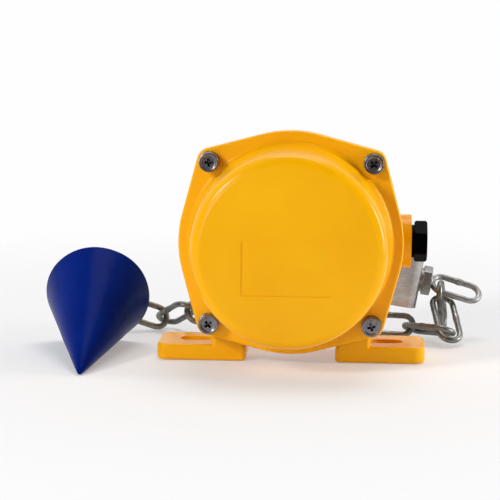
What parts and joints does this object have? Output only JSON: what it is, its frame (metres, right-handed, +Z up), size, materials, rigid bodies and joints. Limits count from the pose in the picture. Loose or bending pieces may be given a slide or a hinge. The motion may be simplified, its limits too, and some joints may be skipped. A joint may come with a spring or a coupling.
{
  "type": "material flow switch",
  "caption": "Cast two-foot switch housing with a round screwed cover and cable entry; a bent swing arm carries a chain with a cone that senses material flow.",
  "frame": {"origin": "midway between the two foot slots, on the underside of the feet", "axes": "+Z up from the mounting face, cover towards -Y, arm and cable entry towards +X"},
  "size_m": [0.2345, 0.1393, 0.12],
  "materials": {
    "yellow_paint": "semi-gloss cast paint",
    "black_plastic": "satin",
    "rubber": "matt",
    "lead_insulation": "satin",
    "grey_plastic": "satin",
    "red_plastic": "gloss",
    "brass": "satin",
    "stainless": "brushed",
    "eye_steel": "dull zinc",
    "galvanised": "dull galvanised",
    "blue_paint": "gloss paint",
    "zinc_steel": "bright zinc",
    "spring_steel": "oiled"
  },
  "bodies": {
    "housing": {"block_screws": "zinc_steel", "bush_front": "brass", "bush_rear": "brass", "cover": "yellow_paint", "cover_gasket": "rubber", "cover_screws": "zinc_steel", "cover_spring_washers": "zinc_steel", "earth_screw": "brass", "gland_nut": "black_plastic", "gland_seal": "rubber", "gland_washer": "zinc_steel", "housing": "yellow_paint", "plate_screws": "zinc_steel", "shaft_seal": "rubber", "spring_post": "spring_steel", "stop_pins": "spring_steel", "switch_front": "black_plastic", "switch_leads": "lead_insulation", "switch_nuts": "zinc_steel", "switch_plate": "zinc_steel", "switch_rear": "black_plastic", "switch_screws": "zinc_steel", "terminal_block": "grey_plastic", "terminal_screws": "brass"},
    "arm": {"shaft": "stainless", "shaft_clip": "spring_steel", "stop_collar": "spring_steel", "cam_rear": "spring_steel", "cam_front": "spring_steel", "grub_screws": "spring_steel", "return_spring": "spring_steel", "thrust_washer": "stainless", "arm": "stainless", "arm_washer": "stainless", "arm_nut": "stainless", "eye_bolt": "eye_steel", "eye_washer": "eye_steel", "eye_spring_washer": "eye_steel", "eye_nut": "eye_steel"},
    "plunger_rear": {"plunger_rear": "red_plastic"},
    "plunger_front": {"plunger_front": "red_plastic"},
    "chain_link_01": {"chain_link_01": "galvanised"},
    "chain_link_02": {"chain_link_02": "galvanised"},
    "chain_link_03": {"chain_link_03": "galvanised"},
    "chain_link_04": {"chain_link_04": "galvanised"},
    "chain_link_05": {"chain_link_05": "galvanised"},
    "chain_link_06": {"chain_link_06": "galvanised"},
    "chain_link_07": {"chain_link_07": "galvanised"},
    "chain_link_08": {"chain_link_08": "galvanised"},
    "chain_link_09": {"chain_link_09": "galvanised"},
    "chain_link_10": {"chain_link_10": "galvanised"},
    "chain_link_11": {"chain_link_11": "galvanised"},
    "cone": {"cone": "blue_paint", "cone_base": "blue_paint", "cone_eye": "blue_paint"}
  },
  "joints": [
    {"name": "arm_swing", "type": "hinge", "parent": "housing", "child": "arm", "pos_m": [0, 0.02, 0.0425], "axis": [0, -1, 0], "range_deg": [0, 15], "stiffness_Nm_per_rad": 0.3, "springref_deg": -17.19, "deforming": ["return_spring"]},
    {"name": "plunger_rear_slide", "type": "slide", "parent": "housing", "child": "plunger_rear", "axis": [0, 0, 1], "range_m": [0, 0.001]},
    {"name": "plunger_front_slide", "type": "slide", "parent": "housing", "child": "plunger_front", "axis": [0, 0, 1], "range_m": [0, 0.001]},
    {"name": "link_01_hang", "type": "hinge", "parent": "arm", "child": "chain_link_01", "pos_m": [0.07904, 0.05249, 0.02573], "axis": [0, -1, 0], "range_deg": [-15, 0]},
    {"name": "link_02_turn", "type": "hinge", "parent": "chain_link_01", "child": "chain_link_02", "pos_m": [0.0796, 0.05614, 0.02112], "axis": [0, 0, 1], "range_deg": [-8, 1]},
    {"name": "link_03_turn", "type": "hinge", "parent": "chain_link_02", "child": "chain_link_03", "pos_m": [0.08095, 0.03251, 0.00817], "axis": [0, 0, -1], "range_deg": [-8, 8]},
    {"name": "link_04_turn", "type": "hinge", "parent": "chain_link_03", "child": "chain_link_04", "pos_m": [0.06198, 0.0486, 0.00664], "axis": [0, 0, 1], "range_deg": [-24, 10]},
    {"name": "link_05_turn", "type": "hinge", "parent": "chain_link_04", "child": "chain_link_05", "pos_m": [0.03613, 0.05666, 0.00814], "axis": [0, 0, -1], "range_deg": [-14, 24]},
    {"name": "link_06_turn", "type": "hinge", "parent": "chain_link_05", "child": "chain_link_06", "pos_m": [0.01505, 0.07255, 0.00885], "axis": [0, 0, 1], "range_deg": [-24, 10]},
    {"name": "link_07_turn", "type": "hinge", "parent": "chain_link_06", "child": "chain_link_07", "pos_m": [-0.01118, 0.07269, 0.0076], "axis": [0, 0, -1], "range_deg": [-10, 24]},
    {"name": "link_08_turn", "type": "hinge", "parent": "chain_link_07", "child": "chain_link_08", "pos_m": [-0.03137, 0.05567, 0.00766], "axis": [0, 0, 1], "range_deg": [-24, 14]},
    {"name": "link_09_turn", "type": "hinge", "parent": "chain_link_08", "child": "chain_link_09", "pos_m": [-0.05695, 0.04957, 0.01382], "axis": [0, 0, -1], "range_deg": [-14, 24]},
    {"name": "link_10_turn", "type": "hinge", "parent": "chain_link_09", "child": "chain_link_10", "pos_m": [-0.0738, 0.06351, 0.00822], "axis": [0, 0, 1], "range_deg": [-24, 12]},
    {"name": "link_11_turn", "type": "hinge", "parent": "chain_link_10", "child": "chain_link_11", "pos_m": [-0.09854, 0.05613, 0.01562], "axis": [0, 0, -1], "range_deg": [-14, 24]},
    {"name": "cone_turn", "type": "hinge", "parent": "chain_link_11", "child": "cone", "pos_m": [-0.10539, 0.03334, 0.02599], "axis": [0, 0, 1], "range_deg": [-24, 8]}
  ],
  "couplings": [
    {"joint": "plunger_rear_slide", "follows": "arm_swing", "m_per_rad": 0.0038197},
    {"joint": "plunger_front_slide", "follows": "arm_swing", "m_per_rad": 0.0038197},
    {"joint": "link_01_hang", "follows": "arm_swing", "ratio": -1}
  ]
}
